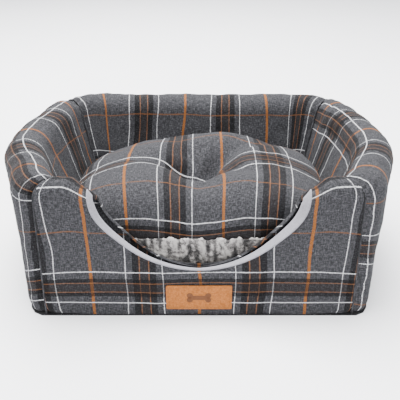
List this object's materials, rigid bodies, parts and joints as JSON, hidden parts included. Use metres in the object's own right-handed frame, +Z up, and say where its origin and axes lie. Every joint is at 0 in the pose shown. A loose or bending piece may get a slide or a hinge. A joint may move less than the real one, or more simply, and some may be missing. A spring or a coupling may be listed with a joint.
{
  "type": "pet cushion bed",
  "caption": "Folded fabric cube bed for a small pet, open on top, with a fat rolled rim, a half-round front entrance and a loose tufted cushion.",
  "frame": {"origin": "middle of the bounding box, on the floor the bed stands on", "axes": "+Z up, entrance facing -Y, +X to the right seen from the front"},
  "size_m": [0.5026, 0.3574, 0.1792],
  "materials": {
    "tartan_cloth": "brushed twill with a heathered grey ground and orange, white and black lines",
    "foam": "open-cell foam sheet, not seen",
    "lining": "thin plain woven lining, not seen",
    "base_cloth": "black coated non-slip cloth",
    "binding_tape": "light grey woven tape",
    "label": "tan leather-look patch, matt",
    "thread": "spun polyester thread",
    "sherpa": "curly light grey pile",
    "filling": "loose polyester fibre, not seen"
  },
  "bodies": {
    "shell": {"front_panel_cloth": "tartan_cloth", "right_panel_cloth": "tartan_cloth", "back_panel_cloth": "tartan_cloth", "left_panel_cloth": "tartan_cloth", "front_panel_foam": "foam", "right_panel_foam": "foam", "back_panel_foam": "foam", "left_panel_foam": "foam", "front_panel_lining": "lining", "right_panel_lining": "lining", "back_panel_lining": "lining", "left_panel_lining": "lining", "front_right_seam": "tartan_cloth", "front_left_seam": "tartan_cloth", "back_right_seam": "tartan_cloth", "back_left_seam": "tartan_cloth", "entrance_binding": "binding_tape", "base_cloth": "base_cloth", "base_foam": "foam", "floor_lining": "lining", "roof_lining": "lining", "roof_foam": "foam", "roof_cloth": "tartan_cloth", "label_patch": "label", "label_stitching": "thread"},
    "cushion": {"cushion_top_cloth": "tartan_cloth", "cushion_sherpa_underside": "sherpa", "cushion_filling": "filling", "cushion_tack_thread": "thread"}
  },
  "joints": [
    {"name": "cushion_lift", "type": "slide", "parent": "shell", "child": "cushion", "axis": [0, 0, 1], "range_m": [0, 0.22]}
  ]
}
